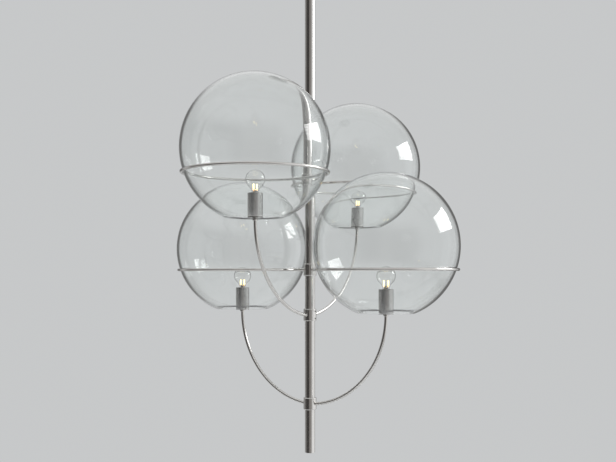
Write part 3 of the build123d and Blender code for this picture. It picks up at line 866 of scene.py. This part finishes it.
class PENDANT_OT_bulbs(bpy.types.Operator):
    """Make the round bulbs: glass, cap and lit rods"""

    bl_idname = "pendant.bulbs"
    bl_label = "Bulbs"

    def execute(self, context):
        sizes = context.scene.pendant_bulb
        tones = context.scene.pendant_colours
        for lamp in LAMPS:
            body = "screwed_bulb_" + lamp
            self.make_glass(sizes, lamp, body)
            self.make_emitter(sizes, tones, lamp, body)
            dress("bulb_cap_" + lamp, "Rolled cap")
        return {"FINISHED"}

    def make_glass(self, sizes, lamp, body):
        low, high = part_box("bulb_glass_" + lamp)
        centre = high.z - sizes.radius
        neck_top = low.z + sizes.neck_height
        reach = centre - neck_top
        shape = Section()
        ends = []
        for inset in (0, sizes.wall):
            head = sizes.radius - inset
            neck = sizes.neck - inset
            flare = (reach**2 + neck**2 - head**2) / (2 * (head - neck))
            turn = math.degrees(math.atan2(reach, neck + flare))
            shape.start(neck, low.z).line(neck, neck_top)
            ends.append(shape.first)
            shape.arc(neck + flare, neck_top, -turn, sizes.arc_steps // 4)
            shape.arc(0, centre, 90 + turn, sizes.arc_steps)
        shape.shape.edges.new(ends)
        finished(
            shape.turned(sizes.turn_steps, lamp_axis(lamp)), "bulb_envelope_" + lamp, body,
            finish_named("Bulb glass"), ["bulb_glass_" + lamp],
        )

    def make_emitter(self, sizes, tones, lamp, body):
        low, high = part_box("bulb_emitter_" + lamp)
        foot = lamp_axis(lamp)
        post_top = low.z + sizes.post_height
        bevel = sizes.post / 3
        post = Section().start(0, low.z).line(sizes.post, low.z)
        post.line(sizes.post, post_top - bevel).line(sizes.post - bevel, post_top)
        post.line(0, post_top)
        finished(
            post.turned(sizes.turn_steps, foot), "emitter_post_" + lamp, body,
            finish_named("Glazed ceramic"),
        )
        aside = lamp_direction(lamp) * sizes.rod_spacing / 2
        bars = []
        for height in (post_top + sizes.bar, high.z - sizes.bar):
            bar = bmesh.new()
            bmesh.ops.create_cone(
                bar, cap_ends=True, segments=sizes.bar_steps, radius1=sizes.bar,
                radius2=sizes.bar, depth=sizes.rod_spacing,
                matrix=aside.to_track_quat("Z", "Y").to_matrix().to_4x4(),
            )
            bmesh.ops.translate(bar, vec=foot + UP * height, verts=bar.verts)
            bars.append(bar)
        finished(
            joined(bars), "emitter_bars_" + lamp, body, finish_named("Rolled cap"),
        )
        rods = joined([
            self.rod_shape(sizes, foot + side * aside, post_top, high.z) for side in (-1, 1)
        ])
        glow = glow_of("Glow " + lamp, tones.glow, tones.amber, post_top, high.z, sizes.glow)
        finished(rods, "lit_rods_" + lamp, body, glow, ["bulb_emitter_" + lamp])

    def rod_shape(self, sizes, place, bottom, top):
        rod = Section().start(0, bottom).line(sizes.rod, bottom).line(sizes.rod, top - sizes.rod)
        rod.arc(0, top - sizes.rod, 90, sizes.rod_steps // 4)
        return rod.turned(sizes.rod_steps, place)


class PENDANT_OT_globes(bpy.types.Operator):
    """Make the clear globes with their rounded mouths"""

    bl_idname = "pendant.globes"
    bl_label = "Globes"

    def execute(self, context):
        sizes = context.scene.pendant_globe
        for lamp in LAMPS:
            low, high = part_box("globe_" + lamp)
            centre = high.z - sizes.radius
            fall = centre - low.z
            shape = Section()
            ends = []
            for radius in (sizes.radius, sizes.radius - sizes.wall):
                mouth = math.sqrt(radius**2 - fall**2)
                below = math.degrees(math.asin(fall / radius))
                shape.start(mouth, low.z)
                ends.append(shape.first)
                shape.arc(0, centre, below + 90, sizes.arc_steps)
            shape.shape.edges.new(ends)
            globe = shape.turned(sizes.turn_steps, lamp_axis(lamp))
            rim = [
                edge for edge in globe.edges
                if all(abs(corner.co.z - low.z) < MERGE_GAP for corner in edge.verts)
                and edge.calc_face_angle(0.0) > RIM_BEND
            ]
            bmesh.ops.bevel(
                globe, geom=rim, offset=sizes.lip, segments=sizes.lip_steps, profile=0.5,
                affect="EDGES", material=-1,
            )
            piece = finished(
                globe, "clear_globe_" + lamp, "loose_globe_" + lamp,
                finish_named("Globe glass"), ["globe_" + lamp],
            )
            piece.visible_shadow = False
        return {"FINISHED"}


class PENDANT_OT_canopy(bpy.types.Operator):
    """Make the spun canopy and its collar"""

    bl_idname = "pendant.canopy"
    bl_label = "Canopy"

    def execute(self, context):
        sizes = context.scene.pendant_canopy
        stem = context.scene.pendant_stem
        low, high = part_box("canopy")
        outer = (high.x - low.x) / 2
        inner = outer - sizes.wall
        hole = stem.radius + sizes.stem_gap
        corner = sizes.corner
        lip = sizes.lip
        cup = Section().start(hole, low.z).line(outer - corner, low.z)
        cup.arc(outer - corner, low.z + corner, 90, sizes.corner_steps).line(outer, high.z - lip)
        cup.arc(outer - lip, high.z - lip, 90, sizes.lip_steps).line(inner + lip, high.z)
        cup.arc(inner + lip, high.z - lip, 90, sizes.lip_steps).line(inner, low.z + corner)
        cup.arc(outer - corner, low.z + corner, -90, sizes.corner_steps)
        cup.line(hole, low.z + sizes.wall).close()
        evened(plated(cup.turned(sizes.turn_steps), "spun_canopy", "canopy", "canopy_cup"))
        low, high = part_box("canopy_collar")
        outer = (high.x - low.x) / 2
        bore = stem.radius + sizes.collar_gap
        bevel = sizes.collar_bevel
        sleeve = Section().start(bore, low.z).line(outer - bevel, low.z)
        sleeve.line(outer, low.z + bevel).line(outer, high.z).line(bore, high.z).close()
        sleeve_shape = sleeve.turned(sizes.turn_steps)
        piece = plated(sleeve_shape, "canopy_sleeve", "canopy_collar", "canopy_cup")
        side = Vector((1, 0, 0))
        place = side * stem.radius + UP * middle_of("canopy_collar").z
        bored(piece, [(place, side)], sizes.screw_hole, outer)
        evened(piece)
        return {"FINISHED"}


class PENDANT_OT_inner_pieces(bpy.types.Operator):
    """Finish the pieces inside the stem, the lampholders and the canopy"""

    bl_idname = "pendant.inner_pieces"
    bl_label = "Inner pieces"

    def execute(self, context):
        dress("ceiling_bracket", "Zinc plate")
        dress("hanger_nuts", "Zinc plate")
        for node in ("hanger_nipple", "stem_top_bush", "earth_screw", "terminal_screws",
                     "holder_nipples", "holder_contacts"):
            dress(node, "Turned brass")
        for node in ("collar_set_screws", "canopy_set_screw"):
            dress(node, "Oiled steel")
        dress("terminal_block", "Satin moulding")
        for lamp in LAMPS:
            dress("lampholder_" + lamp, "Glazed ceramic")
            dress("lead_" + lamp, "Lead sleeve")
        return {"FINISHED"}


class PENDANT_OT_stage(bpy.types.Operator):
    """Make the camera, the pale floor and the studio light"""

    bl_idname = "pendant.stage"
    bl_label = "Stage"

    def execute(self, context):
        stage = context.scene.pendant_stage
        tones = context.scene.pendant_colours
        self.make_camera(context, stage)
        self.make_floor(stage, tones)
        self.make_world(context, stage, tones)
        self.make_lamps(context, stage)
        context.scene.view_settings.view_transform = "Standard"
        return {"FINISHED"}

    def make_camera(self, context, stage):
        data = bpy.data.cameras.new("Camera")
        data.lens = stage.lens
        data.shift_y = stage.shift
        camera = bpy.data.objects.new("Camera", data)
        camera.location = stage.camera_place
        camera.rotation_euler = (math.pi / 2, 0, stage.camera_turn)
        context.scene.collection.objects.link(camera)
        context.scene.camera = camera

    def make_floor(self, stage, tones):
        """A pale disc that fades out towards its rim and is clear from beneath."""
        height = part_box("stem")[0].z - stage.floor_drop
        shape = bmesh.new()
        bmesh.ops.create_circle(
            shape, cap_ends=True, radius=stage.floor_radius, segments=stage.floor_steps
        )
        bmesh.ops.translate(shape, vec=(0, 0, height), verts=shape.verts)
        material = new_finish("Floor", tones.backdrop, roughness=0.8)
        tree = material.node_tree
        place, mapping, round_fade, ramp, sides, from_above, clear, mix = new_nodes(
            tree, "TexCoord", "Mapping", "TexGradient", "ValToRGB", "NewGeometry", "Math",
            "BsdfTransparent", "MixShader",
        )
        round_fade.gradient_type = "SPHERICAL"
        from_above.operation = "SUBTRACT"
        from_above.use_clamp = True
        mapping.inputs["Location"].default_value = (0, 0, -height / stage.floor_radius)
        mapping.inputs["Scale"].default_value = (1 / stage.floor_radius,) * 3
        fill_ramp(ramp, FLOOR_FADE)
        wire(
            tree,
            (place, "Object", mapping, "Vector"),
            (mapping, "Vector", round_fade, "Vector"),
            (round_fade, "Fac", ramp, "Fac"),
            (ramp, "Color", from_above, 0),
            (sides, "Backfacing", from_above, 1),
            (from_above, "Value", mix, "Fac"),
            (clear, "BSDF", mix, 1),
            (shader_of(material), "BSDF", mix, 2),
            (mix, "Shader", tree.nodes["Material Output"], "Surface"),
        )
        placed(shape, "studio_floor", material)

    def make_world(self, context, stage, tones):
        """A pale studio all round, bright to the right, with dark flags to the left and behind."""
        world = bpy.data.worlds.new("Studio")
        context.scene.world = world
        world.use_nodes = True
        tree = world.node_tree
        ground = tree.nodes["Background"]
        place, mapping, compass, sides = new_nodes(
            tree, "TexCoord", "Mapping", "TexGradient", "ValToRGB"
        )
        parts, heights, climb, both, seen = new_nodes(
            tree, "SeparateXYZ", "ValToRGB", "MapRange", "Mix", "Background"
        )
        rays, either, bounced, final = new_nodes(tree, "LightPath", "Math", "Math", "MixShader")
        compass.gradient_type = "RADIAL"
        mapping.inputs["Rotation"].default_value = (0, 0, math.pi / 2 - stage.camera_turn)
        fill_ramp(sides, SIDE_BANDS)
        # A direction's height runs from -1, straight down, to 1, straight up
        climb.inputs["From Min"].default_value = -1
        climb.inputs["From Max"].default_value = 1
        fill_ramp(heights, HEIGHT_BANDS)
        both.data_type = "RGBA"
        wire(
            tree,
            (place, "Generated", mapping, "Vector"),
            (mapping, "Vector", compass, "Vector"),
            (compass, "Fac", sides, "Fac"),
            (place, "Generated", parts, "Vector"),
            (parts, "Z", climb, "Value"),
            (climb, "Result", heights, "Fac"),
            (heights, "Alpha", both, "Factor"),
            (sides, "Color", both, "A"),
            (heights, "Color", both, "B"),
            (both, "Result", ground, "Color"),
        )
        seen.inputs["Color"].default_value = (*tones.backdrop, 1)
        either.operation = "MAXIMUM"
        bounced.operation = "GREATER_THAN"
        bounced.inputs[1].default_value = ANY_BOUNCE
        wire(
            tree,
            (rays, "Glossy Depth", either, 0),
            (rays, "Diffuse Depth", either, 1),
            (either, "Value", bounced, 0),
            (bounced, "Value", final, "Fac"),
            (seen, "Background", final, 1),
            (ground, "Background", final, 2),
            (final, "Shader", tree.nodes["World Output"], "Surface"),
        )

    def make_lamps(self, context, stage):
        """Soft boxes. One that has a shine shows as a highlight in the metal and the glass."""
        for name, turn, rise, distance, width, height, watts, shine in SOFT_BOXES:
            data = bpy.data.lights.new(name, "AREA")
            data.shape = "RECTANGLE"
            data.size = width
            data.size_y = height
            data.energy = watts
            box = bpy.data.objects.new(name, data)
            angle = stage.camera_turn - math.pi / 2 + math.radians(turn)
            towards = Vector((
                math.cos(angle) * math.cos(math.radians(rise)),
                math.sin(angle) * math.cos(math.radians(rise)),
                math.sin(math.radians(rise)),
            ))
            middle = Vector((0, 0, stage.camera_place[2]))
            box.location = middle + towards * distance
            box.rotation_euler = towards.to_track_quat("Z", "Y").to_euler()
            box.visible_camera = box.visible_glossy = box.visible_transmission = False
            context.scene.collection.objects.link(box)
            if shine:
                facing = box.rotation_euler.to_matrix().to_4x4()
                place = Matrix.Translation(box.location) @ facing
                self.make_panel(name, place, width, height, shine)

    def make_panel(self, name, place, width, height, shine):
        """The face of a soft box, which only rays that metal or glass has mirrored can see."""
        shape = bmesh.new()
        # One metre square at first, then stretched to the soft box's size
        bmesh.ops.create_grid(shape, x_segments=1, y_segments=1, size=0.5)
        bmesh.ops.scale(shape, vec=(width, height, 1), verts=shape.verts)
        bmesh.ops.transform(shape, matrix=place, verts=shape.verts)
        material = bpy.data.materials.new(name + " panel")
        material.use_nodes = True
        material.cycles.emission_sampling = "NONE"
        tree = material.node_tree
        tree.nodes.remove(shader_of(material))
        rays, mirrored, clear, light, mix = new_nodes(
            tree, "LightPath", "Math", "BsdfTransparent", "Emission", "MixShader"
        )
        mirrored.operation = "GREATER_THAN"
        mirrored.inputs[1].default_value = ANY_BOUNCE
        light.inputs["Strength"].default_value = shine
        wire(
            tree,
            (rays, "Glossy Depth", mirrored, 0),
            (mirrored, "Value", mix, "Fac"),
            (clear, "BSDF", mix, 1),
            (light, "Emission", mix, 2),
            (mix, "Shader", tree.nodes["Material Output"], "Surface"),
        )
        panel = placed(shape, "studio_panel", material)
        panel.visible_shadow = False


class PENDANT_PT_panel(bpy.types.Panel):
    """Lists the pieces of the pendant and the stage"""

    bl_idname = "PENDANT_PT_panel"
    bl_label = "Globe Cluster Pendant"
    bl_space_type = "VIEW_3D"
    bl_region_type = "UI"
    bl_category = "Pendant"

    def draw(self, context):
        for group in PROPERTY_GROUPS:
            values = getattr(context.scene, group)
            box = self.layout.box()
            box.label(text=group.replace("_", " ").capitalize())
            for name in values.__annotations__:
                box.prop(values, name)
        for operator in OPERATORS:
            self.layout.operator(operator.bl_idname)


PROPERTY_GROUPS = {
    "pendant_globe": PendantGlobeSizes,
    "pendant_stem": PendantStemSizes,
    "pendant_collar": PendantCollarSizes,
    "pendant_ring": PendantRingSizes,
    "pendant_arm": PendantArmSizes,
    "pendant_lampholder": PendantLampholderSizes,
    "pendant_bulb": PendantBulbSizes,
    "pendant_canopy": PendantCanopySizes,
    "pendant_colours": PendantColours,
    "pendant_stage": PendantStage,
}
OPERATORS = [
    PENDANT_OT_stage,
    PENDANT_OT_finishes,
    PENDANT_OT_stem,
    PENDANT_OT_collars,
    PENDANT_OT_rings,
    PENDANT_OT_arms,
    PENDANT_OT_lampholders,
    PENDANT_OT_bulbs,
    PENDANT_OT_globes,
    PENDANT_OT_canopy,
    PENDANT_OT_inner_pieces,
]


def register():
    for group in PROPERTY_GROUPS.values():
        bpy.utils.register_class(group)
    for name, group in PROPERTY_GROUPS.items():
        setattr(bpy.types.Scene, name, PointerProperty(type=group))
    for operator in OPERATORS:
        bpy.utils.register_class(operator)
    bpy.utils.register_class(PENDANT_PT_panel)


def unregister():
    bpy.utils.unregister_class(PENDANT_PT_panel)
    for operator in reversed(OPERATORS):
        bpy.utils.unregister_class(operator)
    for name in PROPERTY_GROUPS:
        delattr(bpy.types.Scene, name)
    for group in reversed(PROPERTY_GROUPS.values()):
        bpy.utils.unregister_class(group)


def main():
    register()
    bpy.ops.pendant.stage()
    bpy.ops.pendant.finishes()
    bpy.ops.pendant.stem()
    bpy.ops.pendant.collars()
    bpy.ops.pendant.rings()
    bpy.ops.pendant.arms()
    bpy.ops.pendant.lampholders()
    bpy.ops.pendant.bulbs()
    bpy.ops.pendant.globes()
    bpy.ops.pendant.canopy()
    bpy.ops.pendant.inner_pieces()


if __name__ == "__main__":
    main()
